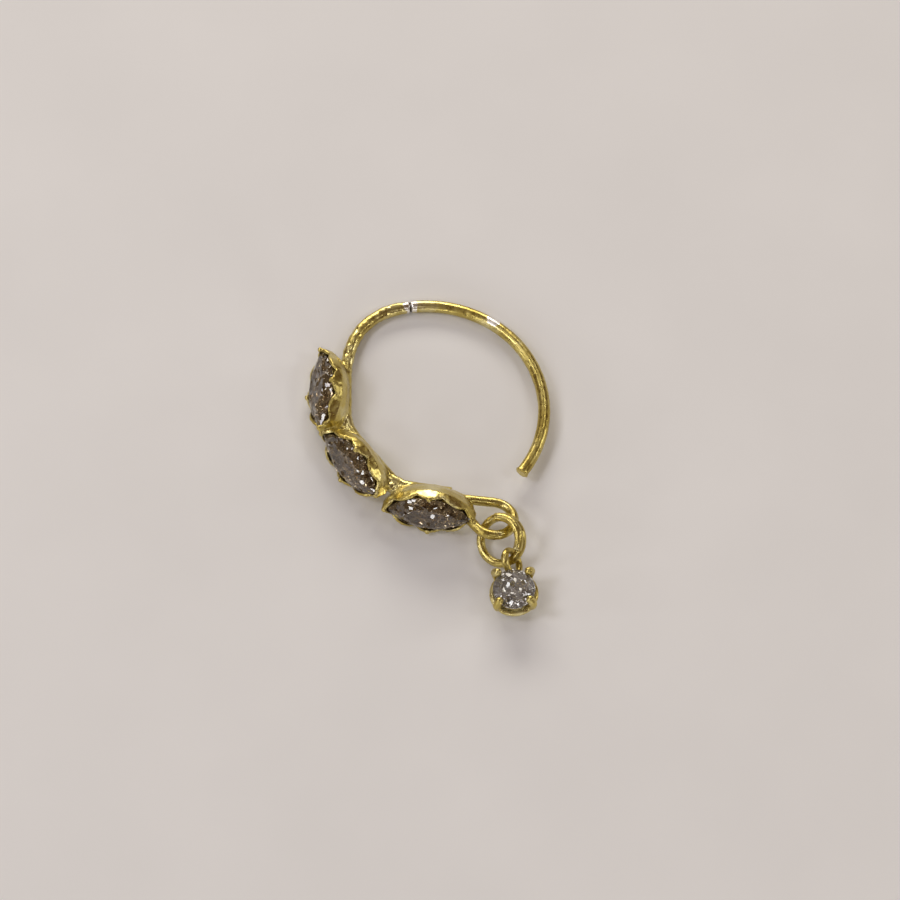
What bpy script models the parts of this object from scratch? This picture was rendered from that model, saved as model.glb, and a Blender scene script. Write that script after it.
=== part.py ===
"""Nose ring: an open hoop with three marquise stones along one side and a small round drop.

Metres, +Z up, lying on a surface at Z = 0 as it would by itself, stones up.
The ring is laid out flat first, centred on its hoop, then tipped into the way it rests.
"""
import math

import bmesh
import bpy
import numpy as np
from mathutils import Matrix, Vector

MM = 0.001

# Hoop: a round wire, most of a circle, then a tighter shoulder down to the settings
WIRE_DIAMETER = 0.60 * MM
HOOP_RADIUS = 5.68 * MM
HOOP_TIP_ANGLE = math.radians(-36.0)
HOOP_SHOULDER_ANGLE = math.radians(104.0)
SHOULDER_RADIUS = 3.05 * MM
SHOULDER_END_ANGLE = math.radians(168.0)

# Spine: the wire goes on behind the settings, straight at each and bent between them
SPINE_LEAD = 0.60 * MM
SPINE_LEAD_BEND_LENGTH = 0.50 * MM
SPINE_FIRST_STRAIGHT = 2.18 * MM
SPINE_FIRST_BEND_LENGTH = 1.50 * MM
SPINE_FIRST_BEND = math.radians(38.0)
SPINE_MIDDLE_STRAIGHT = 2.65 * MM
SPINE_SECOND_BEND_LENGTH = 1.10 * MM
SPINE_SECOND_BEND = math.radians(43.0)
SPINE_LAST_STRAIGHT = 2.05 * MM

# Marquise stones and their collets, heights measured outward from the spine's centre
MARQUISE_LENGTH = 4.00 * MM
MARQUISE_WIDTH = 2.00 * MM
GIRDLE_THICKNESS = 0.07 * MM
STONE_CLEARANCE = 0.03 * MM
COLLET_BASE_HEIGHT = 0.06 * MM
CULET_ROOM = 0.175 * MM
COLLET_WALL = 0.17 * MM
RIM_BAND = 0.42 * MM
RIM_OVER_GIRDLE = 0.12 * MM
SCALLOP_DEPTH = 0.24 * MM
SEAT_DEPTH = 0.30 * MM
COLLET_BASE_LENGTH = 3.30 * MM
COLLET_BASE_WIDTH = 0.95 * MM
CLAW_BEAD_DIAMETER = 0.28 * MM
SCALLOPS_PER_SIDE = 4

# Distance of each setting along the spine from its start, how far its face tips up, and how much
# taller than the others its collet is
UPPER_SETTING_PLACE = 2.43 * MM
MIDDLE_SETTING_PLACE = 5.97 * MM
LOWER_SETTING_PLACE = 9.71 * MM
SETTINGS = (
    ("upper", UPPER_SETTING_PLACE, math.radians(34.0), 0.0),
    ("middle", MIDDLE_SETTING_PLACE, math.radians(26.0), 0.0),
    ("lower", LOWER_SETTING_PLACE, math.radians(17.0), 0.20 * MM),
)

# Solder between the collets, half a wire out from the spine
SOLDER_LUMP_DIAMETER = 0.60 * MM

# Eyelet: a long teardrop loop of wire at the end of the spine, twisted a little
EYELET_WIRE = 0.48 * MM
EYELET_RADIUS = 1.00 * MM
EYELET_REACH = 2.30 * MM
EYELET_TURN = math.radians(-20.0)
EYELET_TWIST = math.radians(14.0)
EYELET_LIFT = 0.10 * MM
EYELET_OUTWARD = 0.30 * MM
SOLDER_BEAD_DIAMETER = 0.62 * MM

# Jump ring: lies on the surface at one side and leans on the eyelet at the other
JUMP_WIRE = 0.42 * MM
JUMP_RADIUS = 1.10 * MM
JUMP_FORWARD = 1.14 * MM
JUMP_BEARING = math.radians(-70.0)
JUMP_UPHILL = math.radians(36.0)
JUMP_STEEPEST = 75

# The ring's wire overlaps itself side by side on the uphill side: between which of its steps, and how far
OVERLAP_FIRST = -6
OVERLAP_LAST = 5
OVERLAP_SHARE = 0.8
LINK_CLEARANCE = 0.04 * MM

# How many steps nearer each link is tried where it would touch its neighbour
PLACING_STEPS = 20

# Drop: a four-claw basket on its back, with a bail round the jump ring
ROUND_STONE_DIAMETER = 2.00 * MM
DROP_GIRDLE_HEIGHT = 1.22 * MM
CLAW_WIRE = 0.34 * MM
BASKET_WIRE = 0.32 * MM
BASKET_BASE_RADIUS = 0.46 * MM
CLAW_OVER_GIRDLE = 0.26 * MM
CLAW_HOOK = 0.16 * MM
CLAW_TIP_DIAMETER = 0.36 * MM
BAIL_WIRE = 0.34 * MM
BAIL_INNER_RADIUS = 0.42 * MM
GRIP_BEARING = math.radians(-65.0)
DROP_BEARING = math.radians(-87.0)

# Cut of the stones, as shares of the stone's width
TABLE_SHARE = 0.56
CROWN_SHARE = 0.15
PAVILION_SHARE = 0.42

# Where the facets break between girdle and table, and girdle and culet: out from the middle, and up or down
CROWN_BREAK = (0.80, 0.62)
PAVILION_BREAK = (0.52, 0.54)

# How far a collet has widened half way up to its upright rim band
WAIST_SHARE = 0.62

# How far out the basket's gallery ring is, between its foot and its girdle
GALLERY_SHARE = 0.75

# The girdle stands clear above the spine by the stone's depth
GIRDLE_HEIGHT = WIRE_DIAMETER / 2 + CULET_ROOM + PAVILION_SHARE * MARQUISE_WIDTH + GIRDLE_THICKNESS / 2

# How finely curves are cut
WIRE_SIDES = 12
SMALL_WIRE_SIDES = 10
OUTLINE_STEPS = 16
ARC_STEP = math.radians(5.0)
EYELET_STEP = math.radians(7.5)
JUMP_STEPS = 32
BASKET_STEPS = 26
BAIL_STEPS = 20
FACET_PLACES = 16

# Faces of the resting hull that look down at least this steeply are tried as its foot
DOWNWARD = -0.9

GOLD = ("yellow gold plate", (0.72, 0.58, 0.25, 1.0), 1.0, 0.22)
STONE = ("clear cut glass", (0.80, 0.79, 0.77, 1.0), 0.0, 0.03)


def make_material(look):
    name, colour, metallic, roughness = look
    material = bpy.data.materials.new(name)
    material.use_nodes = True
    shader = material.node_tree.nodes["Principled BSDF"]
    shader.inputs["Base Color"].default_value = colour
    shader.inputs["Metallic"].default_value = metallic
    shader.inputs["Roughness"].default_value = roughness
    return material


def make_object(name, bm, material):
    bm.normal_update()
    bmesh.ops.recalc_face_normals(bm, faces=bm.faces)
    mesh = bpy.data.meshes.new(name)
    bm.to_mesh(mesh)
    bm.free()
    mesh.materials.append(material)
    made = bpy.data.objects.new(name, mesh)
    bpy.context.scene.collection.objects.link(made)
    return made


def bridge_rows(bm, rows, closed):
    """Join rings of points one after another; a closed run also joins the last to the first."""
    rings = [[bm.verts.new(point) for point in row] for row in rows]
    count = len(rings[0])
    pairs = list(zip(rings, rings[1:]))
    if closed:
        pairs.append((rings[-1], rings[0]))
    for first, second in pairs:
        for i in range(count):
            j = (i + 1) % count
            bm.faces.new((first[i], first[j], second[j], second[i]))
    if not closed:
        bm.faces.new(rings[0][::-1])
        bm.faces.new(rings[-1])


def sweep(path, diameter, closed=False, sides=WIRE_SIDES, up=Vector((0, 0, 1))):
    """A round wire along a path of points, as rings at right angles to it."""
    bm = bmesh.new()
    rows = []
    last = len(path) - 1
    for i, point in enumerate(path):
        if closed:
            along = path[(i + 1) % len(path)] - path[i - 1]
        else:
            along = path[min(i + 1, last)] - path[max(i - 1, 0)]
        along.normalize()
        side = along.cross(up).normalized()
        over = side.cross(along)
        turns = [2.0 * math.pi * k / sides for k in range(sides)]
        reach = diameter / 2
        rows.append([point + (side * math.cos(a) + over * math.sin(a)) * reach for a in turns])
    bridge_rows(bm, rows, closed)
    return bm


def arc_points(centre, radius, start, end):
    count = max(2, math.ceil(abs(end - start) / ARC_STEP))
    angles = [start + (end - start) * i / count for i in range(count + 1)]
    return [centre + Vector((math.cos(a), math.sin(a), 0)) * radius for a in angles]


def heading(angle):
    return Vector((math.cos(angle), math.sin(angle), 0))


class Spine:
    """The run behind the settings: straights and bends, followed by distance from its start."""

    def __init__(self):
        self.runs = (
            (SPINE_LEAD, 0.0),
            (SPINE_LEAD_BEND_LENGTH, math.pi - SHOULDER_END_ANGLE),
            (SPINE_FIRST_STRAIGHT, 0.0),
            (SPINE_FIRST_BEND_LENGTH, SPINE_FIRST_BEND),
            (SPINE_MIDDLE_STRAIGHT, 0.0),
            (SPINE_SECOND_BEND_LENGTH, SPINE_SECOND_BEND),
            (SPINE_LAST_STRAIGHT, 0.0),
        )
        towards = heading(HOOP_SHOULDER_ANGLE)
        self.shoulder_centre = towards * (HOOP_RADIUS - SHOULDER_RADIUS)
        self.start = self.shoulder_centre + heading(SHOULDER_END_ANGLE) * SHOULDER_RADIUS
        self.length = sum(run for run, turn in self.runs)

    def at(self, distance):
        """The place and the heading at a distance along the spine."""
        place = self.start.copy()
        angle = SHOULDER_END_ANGLE + math.pi / 2
        left = distance
        for run, turn in self.runs:
            step = min(left, run)
            if turn:
                radius = run / turn
                swing = step / radius
                place += (heading(angle + swing - math.pi / 2) - heading(angle - math.pi / 2)) * radius
                angle += swing
            else:
                place += heading(angle) * step
            left -= step
            if left <= 0:
                break
        return place, angle

    def points(self):
        count = math.ceil(self.length / WIRE_DIAMETER)
        return [self.at(self.length * i / count)[0] for i in range(count + 1)]


def hoop_and_spine_path(spine):
    """The wire's centre from the cut tip round the hoop and the shoulder and along the spine."""
    hoop = arc_points(Vector(), HOOP_RADIUS, HOOP_TIP_ANGLE, HOOP_SHOULDER_ANGLE)
    shoulder = arc_points(
        spine.shoulder_centre, SHOULDER_RADIUS, HOOP_SHOULDER_ANGLE, SHOULDER_END_ANGLE)
    return hoop + shoulder[1:] + spine.points()[1:]


def marquise_outline(length, width, grow=0.0):
    """Two equal arcs that meet in points; grow moves them outward by an even wall."""
    half_length = length / 2
    half_width = width / 2
    arc = (half_length ** 2 + half_width ** 2) / (2 * half_width)
    centre = arc - half_width
    reach = math.acos(centre / (arc + grow))
    points = []
    for side in (1, -1):
        for i in range(OUTLINE_STEPS):
            angle = reach * (1 - 2 * i / OUTLINE_STEPS) * side
            across = side * ((arc + grow) * math.cos(angle) - centre)
            points.append((across, (arc + grow) * math.sin(angle)))
    return points


def round_outline(diameter):
    angles = [2 * math.pi * i / FACET_PLACES for i in range(FACET_PLACES)]
    return [(diameter / 2 * math.cos(a), diameter / 2 * math.sin(a)) for a in angles]


def setting_frame(spine, place, tip):
    """Axes of a setting: X across the stone, Y along it, Z out of its face."""
    origin, angle = spine.at(place)
    along = heading(angle)
    outward = heading(angle - math.pi / 2)
    face = outward * math.cos(tip) + Vector((0, 0, 1)) * math.sin(tip)
    across = along.cross(face)
    frame = Matrix((across, along, face)).transposed().to_4x4()
    frame.translation = origin
    return frame


def rim_height(step):
    """The rim's edge over a collet's foot: broad lobes with a narrow round notch between each two."""
    phase = (step * SCALLOPS_PER_SIDE / OUTLINE_STEPS) % 1.0
    return GIRDLE_HEIGHT + RIM_OVER_GIRDLE - SCALLOP_DEPTH * math.sin(math.pi * phase) ** 4


def collet(frame, taller):
    """An open tapered cup with a seat for the stone, and a scalloped rim."""
    pocket = marquise_outline(MARQUISE_LENGTH, MARQUISE_WIDTH, STONE_CLEARANCE)
    rim = marquise_outline(MARQUISE_LENGTH, MARQUISE_WIDTH, STONE_CLEARANCE + COLLET_WALL)
    base = marquise_outline(COLLET_BASE_LENGTH, COLLET_BASE_WIDTH)
    waist = [
        (low[0] + (high[0] - low[0]) * WAIST_SHARE, low[1] + (high[1] - low[1]) * WAIST_SHARE)
        for low, high in zip(base, rim)
    ]
    through = marquise_outline(COLLET_BASE_LENGTH, COLLET_BASE_WIDTH, -COLLET_WALL)
    seat = marquise_outline(MARQUISE_LENGTH, MARQUISE_WIDTH, -COLLET_WALL)
    girdle = GIRDLE_HEIGHT + taller
    half = (COLLET_BASE_HEIGHT + girdle - RIM_BAND) / 2
    seat_top = girdle - GIRDLE_THICKNESS / 2 - STONE_CLEARANCE
    steps = range(2 * OUTLINE_STEPS)
    rows = (
        [(x, y, COLLET_BASE_HEIGHT) for x, y in base],
        [(x, y, half) for x, y in waist],
        [(rim[i][0], rim[i][1], girdle - RIM_BAND) for i in steps],
        [(rim[i][0], rim[i][1], rim_height(i) + taller) for i in steps],
        [(pocket[i][0], pocket[i][1], rim_height(i) + taller) for i in steps],
        [(x, y, seat_top - SCALLOP_DEPTH) for x, y in pocket],
        [(x, y, seat_top - SEAT_DEPTH - SCALLOP_DEPTH) for x, y in seat],
        [(x, y, COLLET_BASE_HEIGHT) for x, y in through],
    )
    bm = bmesh.new()
    bridge_rows(bm, [[frame @ Vector(point) for point in row] for row in rows], True)
    return bm


def bead(place, diameter):
    bm = bmesh.new()
    bmesh.ops.create_icosphere(
        bm, subdivisions=2, radius=diameter / 2, matrix=Matrix.Translation(place))
    return bm


def claw_beads(frame, taller):
    """Beads on the rim at the two points and the middle of each side."""
    edge = marquise_outline(MARQUISE_LENGTH, MARQUISE_WIDTH, STONE_CLEARANCE + COLLET_WALL / 3)
    height = GIRDLE_HEIGHT + RIM_OVER_GIRDLE + taller
    places = [edge[step] for step in range(0, 2 * OUTLINE_STEPS, OUTLINE_STEPS // 2)]
    return [bead(frame @ Vector((x, y, height)), CLAW_BEAD_DIAMETER) for x, y in places]


def cut_stone(outline, width, grow=0.0):
    """A brilliant cut: flat table, two rings of crown facets, thin girdle, pointed pavilion."""
    bm = bmesh.new()
    half_girdle = GIRDLE_THICKNESS / 2 + grow
    crown = CROWN_SHARE * width
    pavilion = PAVILION_SHARE * width
    points = [(0, 0, -half_girdle - pavilion)]
    for x, y in outline:
        points.append((x, y, half_girdle))
        points.append((x, y, -half_girdle))
    for i, (x, y) in enumerate(outline[::len(outline) // FACET_PLACES]):
        if i % 2 == 0:
            points.append((x * TABLE_SHARE, y * TABLE_SHARE, half_girdle + crown))
        else:
            out, up = CROWN_BREAK
            points.append((x * out, y * out, half_girdle + crown * up))
            out, down = PAVILION_BREAK
            points.append((x * out, y * out, -half_girdle - pavilion * down))
    for point in points:
        bm.verts.new(point)
    hull = bmesh.ops.convex_hull(bm, input=bm.verts)
    unused = [item for item in hull["geom_interior"] if isinstance(item, bmesh.types.BMVert)]
    bmesh.ops.delete(bm, geom=unused, context="VERTS")
    loose = [vert for vert in bm.verts if not vert.link_faces]
    bmesh.ops.delete(bm, geom=loose, context="VERTS")
    bmesh.ops.dissolve_limit(bm, angle_limit=math.radians(1.0), verts=bm.verts, edges=bm.edges)
    return bm


def eyelet_path(spine):
    """A teardrop loop: two straight arms from the spine's end to a round end."""
    root, angle = spine.at(spine.length)
    axis = heading(angle + EYELET_TURN)
    side = heading(angle + EYELET_TURN + math.pi / 2)
    half = math.asin(EYELET_RADIUS / EYELET_REACH)
    arm = math.sqrt(EYELET_REACH ** 2 - EYELET_RADIUS ** 2)
    steps = math.ceil(arm / EYELET_WIRE)
    flat = [(math.cos(half) * arm * i / steps, math.sin(half) * arm * i / steps) for i in range(steps)]
    turn = math.pi / 2 + half
    count = math.ceil(turn / EYELET_STEP)
    for i in range(count + 1):
        a = turn - 2 * turn * i / count
        flat.append((EYELET_REACH + EYELET_RADIUS * math.cos(a), EYELET_RADIUS * math.sin(a)))
    back = [(x, -y) for x, y in flat[1:steps]]
    flat += back[::-1]
    lean = side * math.cos(EYELET_TWIST) - Vector((0, 0, 1)) * math.sin(EYELET_TWIST)
    root = root + heading(angle - math.pi / 2) * EYELET_OUTWARD + Vector((0, 0, EYELET_LIFT))
    return root, [root + axis * x + lean * y for x, y in flat], root + axis * EYELET_REACH


def ring_path(centre, uphill, slope, radius, count):
    """A circle whose plane rises by the slope towards the uphill bearing."""
    rise = heading(uphill) * math.cos(slope) + Vector((0, 0, 1)) * math.sin(slope)
    level = heading(uphill + math.pi / 2)
    angles = [2 * math.pi * i / count for i in range(count)]
    return [centre + (rise * math.cos(a) + level * math.sin(a)) * radius for a in angles]


def combine(whole, pieces, name, operation, material):
    """Joins pieces to a solid, or cuts them out of it; they stay as guides that move with it."""
    group = bpy.data.collections.new(f"{whole.name} {name}")
    bpy.context.scene.collection.children.link(group)
    for i, piece in enumerate(pieces):
        guide = make_object(f"{whole.name} {name} {i + 1}", piece, material)
        bpy.context.scene.collection.objects.unlink(guide)
        group.objects.link(guide)
        guide.hide_render = True
        guide.display_type = "WIRE"
        guide.parent = whole
    change = whole.modifiers.new(name, "BOOLEAN")
    change.operation = operation
    change.solver = "EXACT"
    change.use_self = True
    change.operand_type = "COLLECTION"
    change.collection = group


def union(name, pieces, material):
    """One solid from overlapping pieces, as solder makes it."""
    whole = make_object(name, pieces[0], material)
    combine(whole, pieces[1:], "solder", "UNION", material)
    return whole


def solder_lumps(spine):
    """A lump of solder half way between each two settings, on the side the stones face."""
    places = [setting[1] for setting in SETTINGS]
    lumps = []
    for first, second in zip(places, places[1:]):
        place, angle = spine.at((first + second) / 2)
        lumps.append(bead(place + heading(angle - math.pi / 2) * WIRE_DIAMETER / 2, SOLDER_LUMP_DIAMETER))
    return lumps


def evaluated_points(item):
    """World points, volume and weighted centre of an object as the viewport shows it."""
    view = bpy.context.evaluated_depsgraph_get()
    shown = item.evaluated_get(view)
    mesh = shown.to_mesh()
    mesh.calc_loop_triangles()
    points = np.array([shown.matrix_world @ vert.co for vert in mesh.vertices])
    corners = np.array([triangle.vertices for triangle in mesh.loop_triangles])
    shown.to_mesh_clear()
    a, b, c = points[corners[:, 0]], points[corners[:, 1]], points[corners[:, 2]]
    volumes = np.einsum("ij,ij->i", a, np.cross(b, c)) / 6
    centre = ((a + b + c) / 4 * volumes[:, None]).sum(axis=0)
    return points, volumes.sum(), centre


def resting_turn(items):
    """The turn that sets the items down on the face of their hull under their centre of mass."""
    view = [evaluated_points(item) for item in items]
    points = np.vstack([row[0] for row in view])
    centre = Vector(sum(row[2] for row in view) / sum(row[1] for row in view))
    bm = bmesh.new()
    for point in points[points[:, 2] < centre.z]:
        bm.verts.new(point)
    bm.verts.new(centre + Vector((0, 0, HOOP_RADIUS)))
    bmesh.ops.convex_hull(bm, input=bm.verts)
    turn = Matrix.Identity(3)
    for face in bm.faces:
        if face.normal.z > DOWNWARD:
            continue
        corners = [vert.co for vert in face.verts]
        foot = centre - face.normal * (centre - corners[0]).dot(face.normal)
        edges = zip(corners, corners[1:] + corners[:1])
        sides = [(b - a).cross(foot - a).dot(face.normal) for a, b in edges]
        if min(sides) >= 0:
            turn = face.normal.rotation_difference(Vector((0, 0, -1))).to_matrix()
    bm.free()
    return turn.to_4x4()


def nearest(path, other):
    """The least distance between two closed paths of points, read between the points too."""
    def dense(points):
        rows = np.array(points)
        after = np.roll(rows, -1, axis=0)
        shares = np.arange(0, 1, 0.2)[:, None, None]
        return (rows + (after - rows) * shares).reshape(-1, 3)

    gaps = dense(path)[:, None] - dense(other)[None]
    return np.sqrt((gaps ** 2).sum(axis=2)).min()


def linked(path, other):
    """True where one closed path passes through the other, by their winding round each other."""
    a, b = np.array(path), np.array(other)
    run_a, run_b = np.roll(a, -1, axis=0) - a, np.roll(b, -1, axis=0) - b
    apart = (a + run_a / 2)[:, None] - (b + run_b / 2)[None]
    triple = (np.cross(run_a[:, None], run_b[None]) * apart).sum(axis=2)
    winding = (triple / np.linalg.norm(apart, axis=2) ** 3).sum() / (4 * math.pi)
    return abs(winding) > 0.5


def jump_ring_placing(eyelet, eyelet_end):
    """The ring down on the surface at one side, hung clear in the eyelet.

    It is as far out as it goes, up to its own distance, and there it lies as flat as it can.
    """
    need = (EYELET_WIRE + JUMP_WIRE) / 2 + LINK_CLEARANCE
    for step in range(PLACING_STEPS, 0, -1):
        place = eyelet_end + heading(JUMP_BEARING) * JUMP_FORWARD * step / PLACING_STEPS
        for degrees in range(JUMP_STEEPEST):
            slope = math.radians(degrees)
            centre = Vector((place.x, place.y, JUMP_RADIUS * math.sin(slope) + JUMP_WIRE / 2))
            path = ring_path(centre, JUMP_UPHILL, slope, JUMP_RADIUS, JUMP_STEPS)
            if linked(path, eyelet) and nearest(path, eyelet) >= need:
                return centre, path
    return centre, path


def jump_ring(centre, path, material):
    """A round link whose wire runs on side by side with itself on its upper side."""
    over = (path[0] - centre).cross(path[JUMP_STEPS // 4] - centre).normalized()
    beside = over * JUMP_WIRE * OVERLAP_SHARE
    strand = [path[step] + beside for step in range(OVERLAP_FIRST, OVERLAP_LAST + 1)]
    pieces = [sweep(path, JUMP_WIRE, True), sweep(strand, JUMP_WIRE)]
    return union("jump_ring", pieces, material)


def drop_setting(material, bail_height, bail_axis):
    """A basket of four hooked claws on two rings, upright on its base, bail towards +Y.

    Gives the object, the wires it is made of with their diameters, and how far out its bail is.
    """
    girdle = ROUND_STONE_DIAMETER / 2 + STONE_CLEARANCE + CLAW_WIRE / 2
    foot = BASKET_BASE_RADIUS
    base_height = BASKET_WIRE / 2
    gallery_height = (DROP_GIRDLE_HEIGHT + base_height) / 2
    gallery = foot + (girdle - foot) * GALLERY_SHARE
    rings = [
        ring_path(Vector((0, 0, base_height)), 0.0, 0.0, foot, BASKET_STEPS),
        ring_path(Vector((0, 0, gallery_height)), 0.0, 0.0, gallery, BASKET_STEPS),
    ]
    pieces = [sweep(path, BASKET_WIRE, True, SMALL_WIRE_SIDES) for path in rings]
    wires = [(path, BASKET_WIRE) for path in rings]
    top = DROP_GIRDLE_HEIGHT + CLAW_OVER_GIRDLE
    for quarter in range(4):
        out = heading(math.radians(45 + 90 * quarter))
        profile = (
            (foot, base_height),
            (gallery, gallery_height),
            (girdle, DROP_GIRDLE_HEIGHT - CLAW_WIRE / 2),
            (girdle, DROP_GIRDLE_HEIGHT + CLAW_OVER_GIRDLE / 2),
            (girdle - CLAW_HOOK / 2, top),
            (girdle - CLAW_HOOK, top + CLAW_WIRE / 4),
        )
        path = [out * r + Vector((0, 0, z)) for r, z in profile]
        side = Vector((0, 0, 1)).cross(out)
        pieces.append(sweep(path, CLAW_WIRE, False, SMALL_WIRE_SIDES, side))
        wires.append((path, CLAW_WIRE))
        pieces.append(bead(path[-1], CLAW_TIP_DIAMETER))
    bail_reach = gallery + BASKET_WIRE / 2 + BAIL_INNER_RADIUS
    bail_radius = BAIL_INNER_RADIUS + BAIL_WIRE / 2
    angles = [2 * math.pi * i / BAIL_STEPS for i in range(BAIL_STEPS)]
    middle = Vector((0, bail_reach, bail_height))
    out = Vector((0, 1, 0))
    rise = bail_axis.cross(out).normalized()
    loop = [middle + (out * math.cos(a) + rise * math.sin(a)) * bail_radius for a in angles]
    pieces.append(sweep(loop, BAIL_WIRE, True, SMALL_WIRE_SIDES, out.cross(rise)))
    wires.append((loop, BAIL_WIRE))
    return union("drop_setting", pieces, material), wires, bail_reach


def centre_on_surface(items):
    """Moves everything so that the middle of its outline stands over the origin."""
    bpy.context.view_layer.update()
    points = np.vstack([evaluated_points(item)[0] for item in items])
    low, high = points.min(axis=0), points.max(axis=0)
    shift = Matrix.Translation((-(low[0] + high[0]) / 2, -(low[1] + high[1]) / 2, -low[2]))
    for item in items:
        item.matrix_world = shift @ item.matrix_world


def build():
    for item in list(bpy.data.objects):
        bpy.data.objects.remove(item)
    gold = make_material(GOLD)
    clear = make_material(STONE)
    spine = Spine()

    pieces = [sweep(hoop_and_spine_path(spine), WIRE_DIAMETER)]
    stones = []
    pockets = []
    outline = marquise_outline(MARQUISE_LENGTH, MARQUISE_WIDTH)
    pocket_outline = marquise_outline(MARQUISE_LENGTH, MARQUISE_WIDTH, STONE_CLEARANCE / 2)
    for name, place, tip, taller in SETTINGS:
        frame = setting_frame(spine, place, tip)
        pieces.append(collet(frame, taller))
        pieces += claw_beads(frame, taller)
        stone = make_object("marquise_stone_" + name, cut_stone(outline, MARQUISE_WIDTH), clear)
        seated = frame @ Matrix.Translation((0, 0, GIRDLE_HEIGHT + taller))
        stone.matrix_world = seated
        stones.append(stone)
        pocket = cut_stone(pocket_outline, MARQUISE_WIDTH, STONE_CLEARANCE / 2)
        pocket.transform(seated)
        pockets.append(pocket)
    pieces += solder_lumps(spine)
    root, eyelet, eyelet_end = eyelet_path(spine)
    pieces.append(sweep(eyelet, EYELET_WIRE, True))
    pieces.append(bead(root, SOLDER_BEAD_DIAMETER))
    ring = union("ring_frame", pieces, gold)
    combine(ring, pockets, "pocket", "DIFFERENCE", gold)

    turn = resting_turn([ring] + stones)
    bpy.context.view_layer.update()
    floor = min((turn @ Vector(p)).z for item in [ring] + stones for p in evaluated_points(item)[0])
    rest = Matrix.Translation((0, 0, -floor)) @ turn
    for item in [ring] + stones:
        item.matrix_world = rest @ item.matrix_world

    laid = [rest @ point for point in eyelet]
    centre, path = jump_ring_placing(laid, rest @ eyelet_end)
    jump = jump_ring(centre, path, gold)

    grip = max(path, key=lambda point: (point - centre).dot(heading(GRIP_BEARING)))
    step = path.index(grip)
    along = path[(step + 1) % len(path)] - path[step - 1]
    turned = Matrix.Rotation(DROP_BEARING + math.pi / 2, 4, "Z")
    drop, wires, bail_reach = drop_setting(gold, grip.z, turned.inverted() @ along)
    for tried in range(PLACING_STEPS, -1, -1):
        slack = BAIL_INNER_RADIUS * tried / PLACING_STEPS
        place = (grip + heading(DROP_BEARING) * (bail_reach + slack)).to_2d().to_3d()
        hang = Matrix.Translation(place) @ turned
        spare = [
            nearest([hang @ point for point in wire], path) - (width + JUMP_WIRE) / 2
            for wire, width in wires
        ]
        if min(spare) >= LINK_CLEARANCE and linked([hang @ point for point in wires[-1][0]], path):
            break
    drop.matrix_world = hang
    brilliant = cut_stone(round_outline(ROUND_STONE_DIAMETER), ROUND_STONE_DIAMETER)
    brilliant = make_object("drop_stone", brilliant, clear)
    brilliant.matrix_world = hang @ Matrix.Translation((0, 0, DROP_GIRDLE_HEIGHT))
    centre_on_surface([ring, jump, drop, brilliant] + stones)


build()
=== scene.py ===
"""Gold plated silver nose ring with three marquise stones and a round drop, lying on a pale table."""
import math

import bpy
from mathutils import Matrix, Vector


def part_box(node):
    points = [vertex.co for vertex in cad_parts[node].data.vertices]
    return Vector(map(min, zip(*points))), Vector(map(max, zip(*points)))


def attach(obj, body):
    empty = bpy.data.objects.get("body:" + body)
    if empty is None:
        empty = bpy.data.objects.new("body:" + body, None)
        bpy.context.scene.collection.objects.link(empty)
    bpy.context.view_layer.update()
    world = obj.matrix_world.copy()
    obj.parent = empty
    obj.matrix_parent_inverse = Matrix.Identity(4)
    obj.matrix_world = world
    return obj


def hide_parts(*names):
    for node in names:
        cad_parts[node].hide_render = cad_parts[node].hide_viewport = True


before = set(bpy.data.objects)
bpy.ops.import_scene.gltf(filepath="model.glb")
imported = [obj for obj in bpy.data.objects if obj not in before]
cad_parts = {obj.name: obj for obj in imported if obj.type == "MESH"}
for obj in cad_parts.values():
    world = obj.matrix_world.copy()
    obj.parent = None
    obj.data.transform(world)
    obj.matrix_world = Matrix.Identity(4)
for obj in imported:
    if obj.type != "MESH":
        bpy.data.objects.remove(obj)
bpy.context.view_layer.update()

MM = 0.001

# The marquise settings by their place on the ring, from the hammered shoulder down to the eyelet
MARQUISE_PLACES = ("upper", "middle", "lower")

# Sizes of the ring that its finish and its stones need, in millimetres
HOOP_RADIUS = 5.68
WIRE_DIAMETER = 0.60
MARQUISE_LENGTH = 4.00
MARQUISE_WIDTH = 2.00
ROUND_STONE_DIAMETER = 2.00
GIRDLE_THICKNESS = 0.07

# How a stone is cut: its facets, its table, crown and pavilion as shares of its width, how steep
# the small crown facets are beside the main ones, and how wide a block it is cut from
GIRDLE_FACETS = 64
MAIN_FACETS = 8
TABLE_SHARE = 0.56
CROWN_SHARE = 0.15
PAVILION_SHARE = 0.42
STAR_STEEPNESS = 0.62
HALF_FACET_STEEPNESS = 1.22
ROUGH_BLOCK_SHARE = 3

# Rings of pavilion facets: how far out and how far down each one passes, how steep it is,
# and which quarters of the way from one main facet to the next it stands at
PAVILION_TIERS = (
    (1.0, 0.0, 1.22, (1, 3)),
    (0.74, 0.30, 1.02, (0, 2)),
    (0.42, 0.63, 0.86, (1,)),
)

# How evenly the skin of each metal piece is drawn, and how softly its solder joints run together
RING_GRAIN = 0.047
LINK_GRAIN = 0.032
SOLDER_SOFTNESS = 3

# Marks on the hoop, by their angle round it: its open end, a thin dark cut across the wire,
# and two places worn to the silver, each with its reach and how far out on the wire it lies
TIP_ANGLE = math.radians(-36.0)
CUT_ANGLE = math.radians(97.2)
CUT_HALF_WIDTH = 0.045
CUT_DEPTH = 0.07
WORN_PLACES = ((math.radians(97.0), 0.46, 0.0), (math.radians(55.5), 0.45, 0.14))

# Hammer marks: how wide they are, and how deep on the left shoulder, the settings and elsewhere
HAMMER_MARK_WIDTH = 0.34
SHOULDER_MARK_DEPTH = 0.055
SETTING_MARK_DEPTH = 0.028
PLAIN_MARK_DEPTH = 0.012

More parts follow.
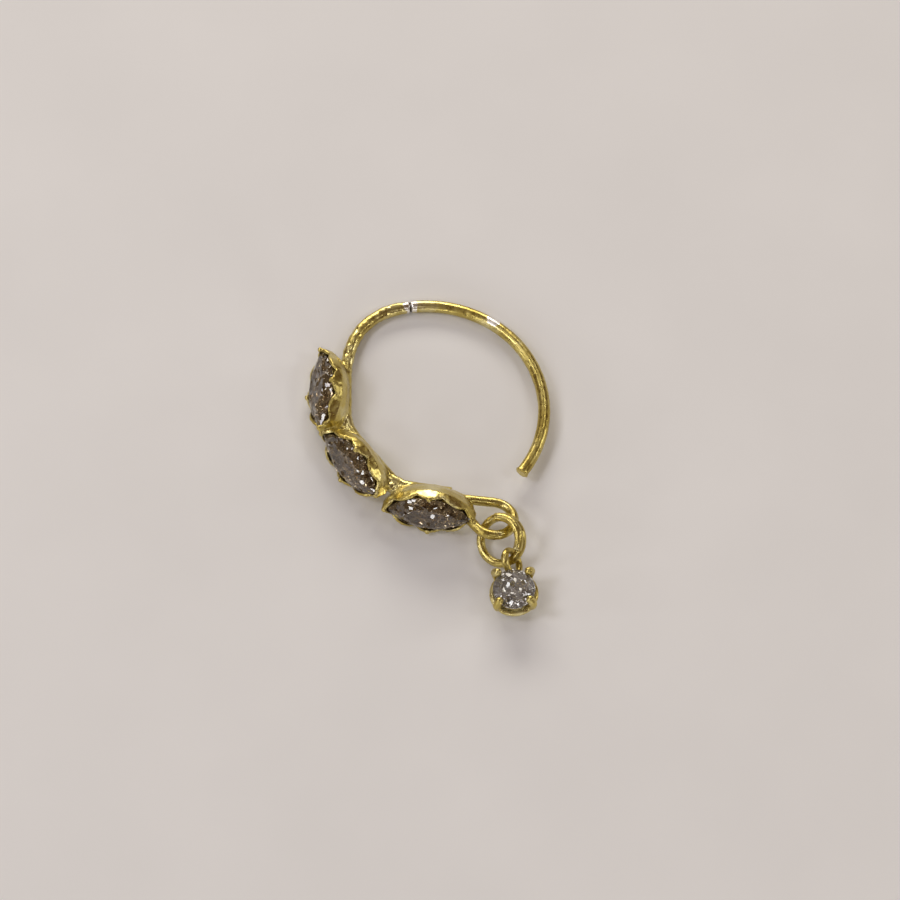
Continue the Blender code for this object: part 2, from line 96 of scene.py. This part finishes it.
# Where those stretches run, by their angle round the hoop, and how high the shoulder reaches
SETTINGS_START = math.radians(158)
SETTINGS_END = math.radians(285)
SHOULDER_START = math.radians(101)
SHOULDER_END = math.radians(152)
SHOULDER_HEIGHT = 1.3

# The burr that the cutter left round the wire's open end: how far back it reaches and stands out
BURR_LENGTH = 0.07
BURR_HEIGHT = 0.045

# Tarnished metal and painted shade in a collet, both painted dark: how far outside its stone it
# reaches, how softly it ends, how deep and how high it goes, and where and how fast it draws in
# with the taper of the wall
DARK_SEAT_MARGIN = 0.09
DARK_SEAT_EDGE = 0.06
DARK_SEAT_FLOOR = 0.95
DARK_SEAT_TOP = 0.10
TAPER_START = 0.30
TAPER = 0.70

# The drop's claws swell above the edge of its stone: from how high, and by how much all round
CLAW_SWELL_START = 0.03
CLAW_SWELL = 0.035

# How near corners are joined: those of a solid before its skin is drawn, and those of a saw cut
CORNER_JOIN = 0.0005
SAW_JOIN = 1e-5

# Real sizes of the marks that the materials draw, in millimetres
RUBBED_PATCH = 1.3
WORN_EDGE = 0.22
POLISH_STREAK = 0.30
TOOL_DENT = 0.16
TOOL_DENT_DEPTH = 0.01
STONE_CELL = 0.18
TABLE_MOTTLE = 9.0

# How hollow a crevice is where it is painted fully brown, as grime and painted shade, and where the
# plate is left plain, how far noise moves the edge of a worn place, how much rougher tarnished metal
# is, and how far the cells of a stone lean
CREVICE_DARKEST = 0.39
CREVICE_UNDARKENED = 0.482
WORN_RAGGEDNESS = 1.6
TARNISH_ROUGHNESS = 0.4
CELL_LEAN_OUTSIDE = 0.62
CELL_LEAN_INSIDE = 0.85

# Camera: the photograph's angle and the width of what it shows where the ring lies
CAMERA_ELEVATION = math.radians(65.0)
VIEW_WIDTH = 42.9 * MM
HOOP_RIGHT_OF_MIDDLE = -1.19 * MM
HOOP_ABOVE_MIDDLE = 1.88 * MM
CAMERA_DISTANCE = 0.35

TABLE_SIZE = 0.9

# Small lamps that the facets catch: their places and size in millimetres, and their power
SPARK_PLACES = (
    (130, 210, 330), (-130, 130, 330), (60, -210, 300), (-190, -160, 200), (210, -60, 250),
    (40, -320, 60), (-80, -300, 110), (-230, -240, 70), (-330, -40, 90), (160, -290, 80),
)
SPARK_SIZE = 48
SPARK_POWER = 0.062

# Sockets of a Mix node that mixes colours
MIX_FIRST = 6
MIX_SECOND = 7
MIX_RESULT = 2

# The hoop reaches the right and the far side of the ring's box, which gives its middle
ring_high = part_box("ring_frame")[1]
hoop_reach = (HOOP_RADIUS + WIRE_DIAMETER / 2) * MM
hoop_middle = Vector((ring_high.x - hoop_reach, ring_high.y - hoop_reach, WIRE_DIAMETER * MM))


def linear(hex_colour):
    """An sRGB hex colour as the linear colour that a shader takes."""
    channels = [int(hex_colour[i:i + 2], 16) / 255 for i in (1, 3, 5)]
    bent = [c / 12.92 if c <= 0.04045 else ((c + 0.055) / 1.055) ** 2.4 for c in channels]
    return (*bent, 1.0)


def per_mm(size):
    """The scale of a pattern in metres whose marks are this many millimetres across."""
    return 1.0 / (size * MM)


def add_node(tree, kind, settings=None, values=None, links=None, stops=()):
    """Adds one shader node with its settings, socket values, what feeds it and its colour stops."""
    made = tree.nodes.new(kind)
    for name, value in (settings or {}).items():
        setattr(made, name, value)
    for socket, value in (values or {}).items():
        made.inputs[socket].default_value = value
    for socket, source in (links or {}).items():
        tree.links.new(source, made.inputs[socket])
    for number, (position, hex_colour) in enumerate(stops):
        if number == len(made.color_ramp.elements):
            made.color_ramp.elements.new(position)
        made.color_ramp.elements[number].position = position
        made.color_ramp.elements[number].color = linear(hex_colour)
    return made


def new_material(name):
    material = bpy.data.materials.new(name)
    material.use_nodes = True
    tree = material.node_tree
    return material, tree, tree.nodes["Principled BSDF"]


def hoop_place(angle, outward):
    """The point on the hoop at an angle round it, so far outward of its wire's centre."""
    return hoop_middle + Vector((math.cos(angle), math.sin(angle), 0)) * (HOOP_RADIUS + outward) * MM


def gold_plate():
    """High carat gold plated over silver, hammered, burnished by hand and worn.

    The plate is a greenish lemon gold with a satin gloss, paler in patches where it is rubbed and
    painted brown in its crevices, as grime and painted shade. It is worn through to white silver at
    two places on the hoop, and it is painted dark inside the collets and in the thin cut, as tarnished
    metal and painted shade.
    """
    material, tree, shader = new_material("hand burnished gold plate over silver")
    place = add_node(tree, "ShaderNodeTexCoord").outputs["Object"]

    patches = add_node(
        tree, "ShaderNodeTexNoise",
        values={"Scale": per_mm(RUBBED_PATCH), "Detail": 4.0, "Roughness": 0.6},
        links={"Vector": place})
    plate = add_node(
        tree, "ShaderNodeValToRGB", links={"Fac": patches.outputs["Fac"]},
        stops=((0.34, "#B8A353"), (0.52, "#CBBA6F"), (0.70, "#E2D8A4")))

    # Painted shade and grime: crevices, found by how hollow the skin is, are painted brown
    crevice = add_node(tree, "ShaderNodeNewGeometry").outputs["Pointiness"]
    left_plain = add_node(
        tree, "ShaderNodeMapRange", values={"From Min": CREVICE_DARKEST, "From Max": CREVICE_UNDARKENED},
        links={"Value": crevice})
    grime_and_shade = add_node(
        tree, "ShaderNodeMix", {"data_type": "RGBA"}, {MIX_FIRST: linear("#5A4218")},
        {0: left_plain.outputs["Result"], MIX_SECOND: plate.outputs["Color"]})

    flat_place = add_node(
        tree, "ShaderNodeMapping", values={"Scale": (1.0, 1.0, 0.0)}, links={"Vector": place})
    nearness = []
    for angle, reach, outward in WORN_PLACES:
        spot = hoop_place(angle, outward)
        away = add_node(
            tree, "ShaderNodeVectorMath", {"operation": "DISTANCE"}, {1: (spot.x, spot.y, 0.0)},
            {0: flat_place.outputs["Vector"]})
        near = add_node(
            tree, "ShaderNodeMapRange",
            values={"From Min": reach * MM, "From Max": reach * MM * 0.5, "To Max": 1.0},
            links={"Value": away.outputs["Value"]})
        nearness.append(near.outputs["Result"])
    nearest = add_node(
        tree, "ShaderNodeMath", {"operation": "MAXIMUM"}, links={0: nearness[0], 1: nearness[1]})
    ragged = add_node(
        tree, "ShaderNodeTexNoise", values={"Scale": per_mm(WORN_EDGE), "Detail": 3.0},
        links={"Vector": place})
    either_way = add_node(
        tree, "ShaderNodeMath", {"operation": "ADD"}, {1: -0.5}, {0: ragged.outputs["Fac"]})
    edge = add_node(
        tree, "ShaderNodeMath", {"operation": "MULTIPLY_ADD"}, {1: WORN_RAGGEDNESS},
        {0: either_way.outputs[0], 2: nearest.outputs[0]})
    bare = add_node(
        tree, "ShaderNodeMapRange", values={"From Min": 0.45, "From Max": 0.6},
        links={"Value": edge.outputs[0]})
    worn = add_node(
        tree, "ShaderNodeMix", {"data_type": "RGBA"}, {MIX_SECOND: linear("#F4F1EA")},
        {0: bare.outputs["Result"], MIX_FIRST: grime_and_shade.outputs[MIX_RESULT]})

    # Painted shade and tarnished metal: the collets' seats and the thin cut are painted dark brown
    tarnish_and_shade = add_node(tree, "ShaderNodeAttribute", {"attribute_name": "tarnish_and_shade"}).outputs["Fac"]
    tarnished_and_shaded = add_node(
        tree, "ShaderNodeMix", {"data_type": "RGBA"}, {MIX_SECOND: linear("#3A2B19")},
        {0: tarnish_and_shade, MIX_FIRST: worn.outputs[MIX_RESULT]})
    tree.links.new(tarnished_and_shaded.outputs[MIX_RESULT], shader.inputs["Base Color"])

    streaks = add_node(
        tree, "ShaderNodeTexNoise",
        values={"Scale": per_mm(POLISH_STREAK), "Detail": 5.0, "Roughness": 0.7},
        links={"Vector": place})
    gloss = add_node(
        tree, "ShaderNodeMapRange",
        values={"From Min": 0.3, "From Max": 0.7, "To Min": 0.20, "To Max": 0.40},
        links={"Value": streaks.outputs["Fac"]})
    dull = add_node(
        tree, "ShaderNodeMath", {"operation": "MULTIPLY_ADD"}, {1: TARNISH_ROUGHNESS},
        {0: tarnish_and_shade, 2: gloss.outputs["Result"]})
    tree.links.new(dull.outputs[0], shader.inputs["Roughness"])

    dents = add_node(
        tree, "ShaderNodeTexNoise", values={"Scale": per_mm(TOOL_DENT), "Detail": 2.0},
        links={"Vector": place})
    bump = add_node(
        tree, "ShaderNodeBump", values={"Strength": 0.15, "Distance": TOOL_DENT_DEPTH * MM},
        links={"Height": dents.outputs["Fac"]})
    tree.links.new(bump.outputs["Normal"], shader.inputs["Normal"])
    shader.inputs["Metallic"].default_value = 1.0
    return material


def cut_glass(name, dark, pale, film):
    """Cut heavy lead glass, polished, set over a seat painted dark as tarnished metal and painted
    shade, with a dull film from wear.

    It bends light strongly, and its many facets, seen through each other, break it into small grey and
    brown cells with a white spark in some. Those too small to model are drawn as cells that lean more
    inside the stone than on its polished face, and the cells' colours are painted dark and pale at
    random, as painted reflections and shade of the facets, which show most through the film.
    """
    material, tree, shader = new_material(name)
    place = add_node(tree, "ShaderNodeTexCoord").outputs["Object"]
    cells = add_node(
        tree, "ShaderNodeTexVoronoi", values={"Scale": per_mm(STONE_CELL)}, links={"Vector": place})
    shade = add_node(tree, "ShaderNodeSeparateColor", links={"Color": cells.outputs["Color"]})
    # Painted reflections and shade of the facets: each cell's colour is set at random between the dark
    # and the pale colour
    tint = add_node(
        tree, "ShaderNodeMix", {"data_type": "RGBA"},
        {MIX_FIRST: linear(dark), MIX_SECOND: linear(pale)}, {0: shade.outputs[0]})
    tree.links.new(tint.outputs[MIX_RESULT], shader.inputs["Base Color"])

    surface = add_node(tree, "ShaderNodeNewGeometry")
    centred = add_node(
        tree, "ShaderNodeVectorMath", {"operation": "SUBTRACT"}, {1: (0.5, 0.5, 0.5)},
        {0: cells.outputs["Color"]})
    leaning = add_node(
        tree, "ShaderNodeMapRange",
        values={"To Min": CELL_LEAN_OUTSIDE, "To Max": CELL_LEAN_INSIDE},
        links={"Value": surface.outputs["Backfacing"]})
    lean = add_node(
        tree, "ShaderNodeVectorMath", {"operation": "SCALE"},
        links={0: centred.outputs["Vector"], "Scale": leaning.outputs["Result"]})
    leant = add_node(
        tree, "ShaderNodeVectorMath", {"operation": "ADD"},
        links={0: surface.outputs["Normal"], 1: lean.outputs["Vector"]})
    evened = add_node(
        tree, "ShaderNodeVectorMath", {"operation": "NORMALIZE"}, links={0: leant.outputs["Vector"]})
    tree.links.new(evened.outputs["Vector"], shader.inputs["Normal"])
    shader.inputs["Roughness"].default_value = 0.02
    shader.inputs["Transmission Weight"].default_value = 1.0 - film
    shader.inputs["IOR"].default_value = 1.8
    return material


def table_paint():
    """Matt pale paint of the table that the ring lies on, smooth with a faint mottle."""
    material, tree, shader = new_material("matt pale table paint")
    place = add_node(tree, "ShaderNodeTexCoord").outputs["Object"]
    mottle = add_node(
        tree, "ShaderNodeTexNoise", values={"Scale": per_mm(TABLE_MOTTLE), "Detail": 3.0},
        links={"Vector": place})
    tint = add_node(
        tree, "ShaderNodeValToRGB", links={"Fac": mottle.outputs["Fac"]},
        stops=((0.3, "#EAEAEA"), (0.7, "#EEEEEE")))
    tree.links.new(tint.outputs["Color"], shader.inputs["Base Color"])
    shader.inputs["Roughness"].default_value = 0.85
    return material


def only(piece):
    """Selects one object alone and makes it active."""
    bpy.ops.object.select_all(action="DESELECT")
    piece.select_set(True)
    bpy.context.view_layer.objects.active = piece


def resize(piece, factor):
    """Scales a piece about the frame's origin and applies it."""
    only(piece)
    piece.scale = (factor, factor, factor)
    bpy.ops.object.transform_apply(location=False, rotation=False, scale=True)


def modify(piece, kind, **settings):
    """Adds a modifier with its settings and applies it."""
    only(piece)
    modifier = piece.modifiers.new(kind.lower(), kind)
    for name, value in settings.items():
        setattr(modifier, name, value)
    bpy.ops.object.modifier_apply(modifier=modifier.name)


def select_where(piece, test):
    """Opens a piece in edit mode with just the vertices selected that pass the test."""
    only(piece)
    bpy.ops.object.mode_set(mode="EDIT")
    bpy.ops.mesh.select_mode(type="VERT")
    bpy.ops.mesh.select_all(action="DESELECT")
    bpy.ops.object.mode_set(mode="OBJECT")
    for vertex in piece.data.vertices:
        vertex.select = test(vertex.co)
    bpy.ops.object.mode_set(mode="EDIT")


def swell(piece, test, amount):
    """Moves the skin of a piece outward, or inward if negative, where the test passes."""
    select_where(piece, test)
    bpy.ops.transform.shrink_fatten(value=amount)
    bpy.ops.object.mode_set(mode="OBJECT")


def soldered_skin(name, node, grain):
    """A copy of a metal solid, in millimetres, as one even skin whose joints run together."""
    piece = bpy.data.objects.new(name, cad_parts[node].data.copy())
    bpy.context.scene.collection.objects.link(piece)
    piece.data.materials.clear()
    resize(piece, 1 / MM)
    bpy.ops.object.mode_set(mode="EDIT")
    bpy.ops.mesh.select_all(action="SELECT")
    bpy.ops.mesh.remove_doubles(threshold=CORNER_JOIN)
    bpy.ops.object.mode_set(mode="OBJECT")
    modify(piece, "REMESH", mode="VOXEL", voxel_size=grain)
    modify(piece, "SMOOTH", factor=0.5, iterations=SOLDER_SOFTNESS)
    return piece


def hammer(piece, depth, test=None):
    """Presses shallow uneven marks into a piece, all over or where the test passes."""
    marks = bpy.data.textures.new(piece.name + " marks", "CLOUDS")
    marks.noise_scale = HAMMER_MARK_WIDTH
    marks.noise_depth = 1
    group = ""
    if test:
        select_where(piece, test)
        bpy.ops.object.vertex_group_assign_new()
        bpy.ops.object.mode_set(mode="OBJECT")
        group = piece.vertex_groups[-1].name
    modify(
        piece, "DISPLACE", texture=marks, texture_coords="LOCAL", strength=depth,
        mid_level=0.5, vertex_group=group)


def finish_metal(piece, node, material):
    """Brings a metal piece to its real size and puts it in the place of its solid."""
    resize(piece, MM)
    bpy.ops.object.shade_smooth()
    piece.data.materials.append(material)
    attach(piece, "root")
    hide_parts(node)


def turn_of(place):
    """The angle round the hoop of a place in millimetres."""
    out = place - hoop_middle / MM
    return math.atan2(out.y, out.x) % (2 * math.pi)


def on_settings(place):
    """True on the run of collets, from the first setting to the eyelet."""
    return SETTINGS_START < turn_of(place) < SETTINGS_END


def on_shoulder(place):
    """True on the hammered stretch of the hoop, from its top down to the first setting."""
    return SHOULDER_START < turn_of(place) < SHOULDER_END and place.z < SHOULDER_HEIGHT


def in_cut(place):
    """True in the thin cut across the hoop wire."""
    out = place - hoop_middle / MM
    across = math.cos(CUT_ANGLE) * out.y - math.sin(CUT_ANGLE) * out.x
    return abs(across) < CUT_HALF_WIDTH and out.y > 0


def at_tip(place):
    """True on the last of the wire, just behind its flat cut end."""
    out = place - hoop_middle / MM
    behind = out.x * math.sin(TIP_ANGLE) - out.y * math.cos(TIP_ANGLE)
    on_wire = abs(out.length - HOOP_RADIUS) < WIRE_DIAMETER
    return on_wire and abs(behind) < BURR_LENGTH and out.x > 0 and out.y < 0


def marquise_arc(length, width):
    """The radius of a marquise's two sides, and how far their centres lie from its middle."""
    radius = (length ** 2 + width ** 2) / (4 * width)
    return radius, radius - width / 2


def inside_marquise(place, grow):
    """How far a place lies inside a marquise outline widened by grow, seen along its axis."""
    radius, centre = marquise_arc(MARQUISE_LENGTH, MARQUISE_WIDTH)
    return radius + grow - Vector((abs(place.x) + centre, place.y)).length


def paint_tarnish_and_shade(ring):
    """Marks how dark each point of the ring is painted, as tarnished metal and painted shade, fully in
    collets and cut.
    """
    ways = [into_stone("marquise_stone_" + place, MARQUISE_WIDTH) for place in MARQUISE_PLACES]
    dark = ring.data.attributes.new("tarnish_and_shade", "FLOAT", "POINT")
    for vertex in ring.data.vertices:
        amount = 1.0 if in_cut(vertex.co) else 0.0
        for way in ways:
            place = way @ vertex.co
            if -DARK_SEAT_FLOOR < place.z < DARK_SEAT_TOP:
                margin = DARK_SEAT_MARGIN - TAPER * max(-TAPER_START - place.z, 0.0)
                amount = max(amount, inside_marquise(place, margin) / DARK_SEAT_EDGE)
        dark.data[vertex.index].value = min(max(amount, 0.0), 1.0)


def make_ring(material):
    ring = soldered_skin("ring", "ring_frame", RING_GRAIN)
    hammer(ring, PLAIN_MARK_DEPTH)
    hammer(ring, SHOULDER_MARK_DEPTH, on_shoulder)
    hammer(ring, SETTING_MARK_DEPTH, on_settings)
    paint_tarnish_and_shade(ring)
    swell(ring, in_cut, -CUT_DEPTH)
    swell(ring, at_tip, BURR_HEIGHT)
    finish_metal(ring, "ring_frame", material)


def make_jump_link(material):
    link = soldered_skin("jump_link", "jump_ring", LINK_GRAIN)
    hammer(link, PLAIN_MARK_DEPTH)
    finish_metal(link, "jump_ring", material)


def make_drop_basket(material):
    """The basket, with claws filled out where they fold over the edge of its stone."""
    basket = soldered_skin("drop_basket", "drop_setting", LINK_GRAIN)
    hammer(basket, PLAIN_MARK_DEPTH)
    way = into_stone("drop_stone", ROUND_STONE_DIAMETER)
    swell(basket, lambda place: (way @ place).z > CLAW_SWELL_START, CLAW_SWELL)
    finish_metal(basket, "drop_setting", material)


def round_girdle(diameter):
    """Places round a round girdle, each with the direction straight out of it."""
    turns = [2 * math.pi * i / GIRDLE_FACETS for i in range(GIRDLE_FACETS)]
    outs = [Vector((math.cos(turn), math.sin(turn), 0)) for turn in turns]
    return [(out * diameter / 2, out) for out in outs]


def marquise_girdle(length, width):
    """Places round a marquise girdle from point to point, with the direction out of each."""
    radius, centre = marquise_arc(length, width)
    reach = math.acos(centre / radius)
    places = []
    for side in (1, -1):
        places.append((Vector((0, side * length / 2, 0)), Vector((0, side, 0))))
        for i in range(1, GIRDLE_FACETS // 2):
            turn = reach * (1 - 4 * i / GIRDLE_FACETS) * side
            out = Vector((side * math.cos(turn), math.sin(turn), 0))
            places.append((out * radius - Vector((side * centre, 0, 0)), out))
    return places


def saw(place, out):
    """Cuts the open piece flat through a place and drops what is outside."""
    bpy.ops.mesh.select_all(action="SELECT")
    bpy.ops.mesh.bisect(
        plane_co=place, plane_no=out, use_fill=True, clear_outer=True, clear_inner=False,
        threshold=SAW_JOIN)


def cut_brilliant(name, girdle, width):
    """Cuts a brilliant from a block: girdle, table, crown and pavilion facets, in millimetres."""
    half = GIRDLE_THICKNESS / 2
    crown = CROWN_SHARE * width
    pavilion = PAVILION_SHARE * width
    bpy.ops.object.select_all(action="DESELECT")
    bpy.ops.mesh.primitive_cube_add(size=ROUGH_BLOCK_SHARE * width)
    stone = bpy.context.object
    stone.name = name
    bpy.ops.object.mode_set(mode="EDIT")
    crown_run = 1 - TABLE_SHARE / math.cos(math.pi / MAIN_FACETS)

    def facet(i, share, height, rise, run):
        """One facet through a height at a share of the way out, rising inward by rise over run."""
        place, out = girdle[i % GIRDLE_FACETS]
        reach = place.dot(out)
        at = out * reach * share + Vector((0, 0, height))
        lean = math.atan2(rise, run * reach)
        saw(at, out * math.sin(lean) + Vector((0, 0, math.copysign(math.cos(lean), height))))

    for place, out in girdle:
        saw(place, out)
    saw(Vector((0, 0, half + crown)), Vector((0, 0, 1)))
    step = GIRDLE_FACETS // MAIN_FACETS
    quarter = step // 4
    for main in range(0, GIRDLE_FACETS, step):
        facet(main, 1.0, half, crown, crown_run)
        facet(main + 2 * quarter, TABLE_SHARE, half + crown, crown * STAR_STEEPNESS, crown_run)
        for beside in (quarter, 3 * quarter):
            facet(main + beside, 1.0, half, crown * HALF_FACET_STEEPNESS, crown_run)
        for out_share, down_share, steepness, quarters in PAVILION_TIERS:
            depth = -half - pavilion * down_share
            for turned in quarters:
                facet(main + turned * quarter, out_share, depth, pavilion * steepness, 1.0)
    bpy.ops.object.mode_set(mode="OBJECT")
    return stone


def seat_of(node, width):
    """The place and axes of a stone: Z out of its table, Y along its length, middle of its girdle."""
    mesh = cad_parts[node].data
    corners = {tuple(round(c, 8) for c in vertex.co) for vertex in mesh.vertices}
    points = [Vector(corner) for corner in sorted(corners)]
    areas = {}
    for face in mesh.polygons:
        way = tuple(round(c, 2) for c in face.normal)
        areas[way] = areas.get(way, 0.0) + face.area
    up = Vector(max(areas, key=areas.get)).normalized()
    first, last = max(
        ((a, b) for a in points for b in points), key=lambda pair: (pair[0] - pair[1]).length)
    along = (last - first) - up * (last - first).dot(up)
    along.normalize()
    middle = sum(points, Vector()) / len(points)
    top = max(point.dot(up) for point in points)
    crown = (CROWN_SHARE * width + GIRDLE_THICKNESS / 2) * MM
    middle += up * (top - crown - middle.dot(up))
    seat = Matrix((along.cross(up), along, up)).transposed().to_4x4()
    seat.translation = middle
    return seat


def into_stone(node, width):
    """Turns a place in the frame, in millimetres, into its place on a stone, in millimetres."""
    return (Matrix.Scale(1 / MM, 4) @ seat_of(node, width) @ Matrix.Scale(MM, 4)).inverted()


def set_stone(pattern, name, node, width, material):
    """Puts a copy of a cut stone in its seat."""
    piece = pattern.copy()
    piece.data = pattern.data.copy()
    piece.name = name
    bpy.context.scene.collection.objects.link(piece)
    piece.data.transform(seat_of(node, width) @ Matrix.Scale(MM, 4))
    piece.data.materials.append(material)
    only(piece)
    bpy.ops.object.shade_flat()
    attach(piece, "root")
    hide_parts(node)


def make_stones():
    # Each stone's dark and pale colours are those of its painted facet reflections and shade; the last
    # number is its film share
    smoky = cut_glass("polished smoky lead glass", "#5A3F1E", "#F0DAB0", 0.13)
    bright = cut_glass("polished clear lead glass", "#7A7064", "#FFFFFF", 0.21)
    marquise = cut_brilliant(
        "marquise pattern", marquise_girdle(MARQUISE_LENGTH, MARQUISE_WIDTH), MARQUISE_WIDTH)
    for place in MARQUISE_PLACES:
        set_stone(marquise, "marquise_" + place, "marquise_stone_" + place, MARQUISE_WIDTH, smoky)
    brilliant = cut_brilliant("round pattern", round_girdle(ROUND_STONE_DIAMETER), ROUND_STONE_DIAMETER)
    set_stone(brilliant, "drop_brilliant", "drop_stone", ROUND_STONE_DIAMETER, bright)
    bpy.data.objects.remove(marquise)
    bpy.data.objects.remove(brilliant)


def make_table(material):
    bpy.ops.mesh.primitive_plane_add(size=TABLE_SIZE)
    table = bpy.context.object
    table.name = "table"
    table.data.materials.append(material)


def add_softbox(name, place, size, power, colour):
    """A soft rectangular lamp, placed and sized in millimetres, aimed at the ring."""
    lamp = bpy.data.lights.new(name, "AREA")
    lamp.shape = "RECTANGLE"
    lamp.size, lamp.size_y = (side * MM for side in size)
    lamp.energy = power
    lamp.color = linear(colour)[:3]
    holder = bpy.data.objects.new(name, lamp)
    holder.visible_camera = False
    bpy.context.scene.collection.objects.link(holder)
    spot = Vector(place) * MM
    holder.matrix_world = Matrix.LocRotScale(spot, (-spot).to_track_quat("-Z", "Y"), None)


def light_scene():
    """A wide window low behind, softboxes at both sides, small lamps for sparkle, a dim warm room."""
    add_softbox("window", (-40, 330, 170), (320, 110), 0.75, "#FFF9EE")
    add_softbox("left softbox", (-220, -20, 300), (110, 110), 0.25, "#F8F6FF")
    add_softbox("right softbox", (330, 60, 120), (60, 160), 0.12, "#FFFFFF")
    for number, place in enumerate(SPARK_PLACES):
        add_softbox(f"spark {number + 1}", place, (SPARK_SIZE, SPARK_SIZE), SPARK_POWER, "#FFFFFF")
    world = bpy.data.worlds.new("studio")
    bpy.context.scene.world = world
    world.use_nodes = True
    background = world.node_tree.nodes["Background"]
    background.inputs["Color"].default_value = linear("#85674A")
    background.inputs["Strength"].default_value = 0.5


def aim_camera():
    """A distant camera at the photograph's angle, with the hoop where the photograph has it."""
    right = Vector((1, 0, 0))
    back = Vector((0, -math.cos(CAMERA_ELEVATION), math.sin(CAMERA_ELEVATION)))
    up = back.cross(right)
    target = hoop_middle - right * HOOP_RIGHT_OF_MIDDLE - up * HOOP_ABOVE_MIDDLE
    camera = bpy.data.cameras.new("camera")
    camera.sensor_width = 36.0
    camera.lens = camera.sensor_width * CAMERA_DISTANCE / VIEW_WIDTH
    camera.clip_start = 0.01
    holder = bpy.data.objects.new("camera", camera)
    bpy.context.scene.collection.objects.link(holder)
    pose = Matrix((right, up, back)).transposed().to_4x4()
    pose.translation = target + back * CAMERA_DISTANCE
    holder.matrix_world = pose
    bpy.context.scene.camera = holder


aim_camera()
gold = gold_plate()
make_ring(gold)
make_jump_link(gold)
make_drop_basket(gold)
make_stones()
make_table(table_paint())
light_scene()
bpy.context.scene.view_settings.view_transform = "Standard"
